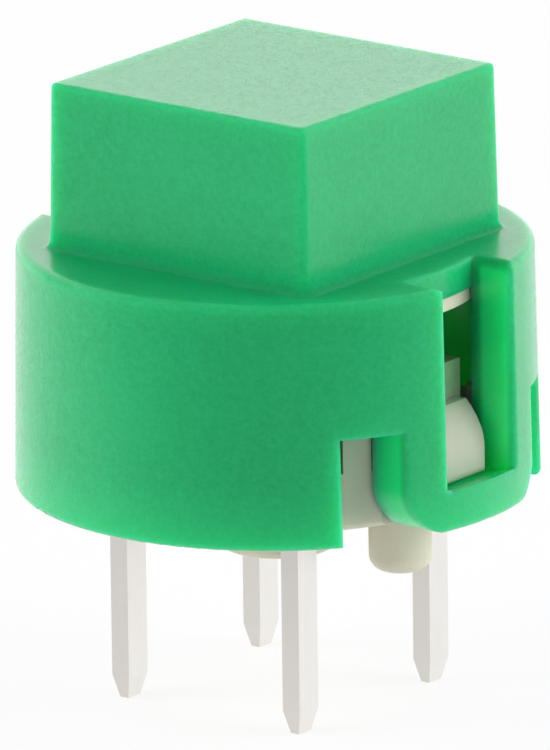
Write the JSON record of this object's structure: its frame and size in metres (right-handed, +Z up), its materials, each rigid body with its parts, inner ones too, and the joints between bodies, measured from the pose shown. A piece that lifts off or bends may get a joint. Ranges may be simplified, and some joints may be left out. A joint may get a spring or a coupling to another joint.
{
  "type": "tactile push button switch",
  "caption": "Round board-mounted tactile push button switch with a square green key on a skirted cap, latched over an ivory base with tinned pins.",
  "frame": {"origin": "on the axis of the round cap, in the plane of the feet, which is the circuit board's surface", "axes": "+Z up through the key along its travel, +X through one latch window, +Y along the flat between the two other sides; the pins point to -Z"},
  "size_m": [0.0124, 0.0124, 0.0151],
  "materials": {
    "cap_plastic": "fine textured satin, green",
    "ivory_plastic": "satin, ivory",
    "spring_steel": "drawn wire, bright",
    "dome_steel": "bright, silver plated",
    "silver_contact": "polished silver",
    "tinned_strip": "tinned, satin",
    "base_plastic": "satin, ivory"
  },
  "bodies": {
    "base": {"base": "base_plastic", "common_terminal": "tinned_strip", "switched_terminal": "tinned_strip", "dome_contacts": "silver_contact", "centre_contact": "silver_contact", "contact_dome": "dome_steel", "chamber_cover": "ivory_plastic", "return_spring": "spring_steel"},
    "key": {"cap": "cap_plastic", "plunger": "ivory_plastic"}
  },
  "joints": [
    {"name": "press", "type": "slide", "parent": "base", "child": "key", "axis": [0, 0, -1], "range_m": [0, 0.0012], "stiffness_N_per_m": 800, "springref_m": -0.0006, "deforming": ["return_spring", "contact_dome"]}
  ]
}
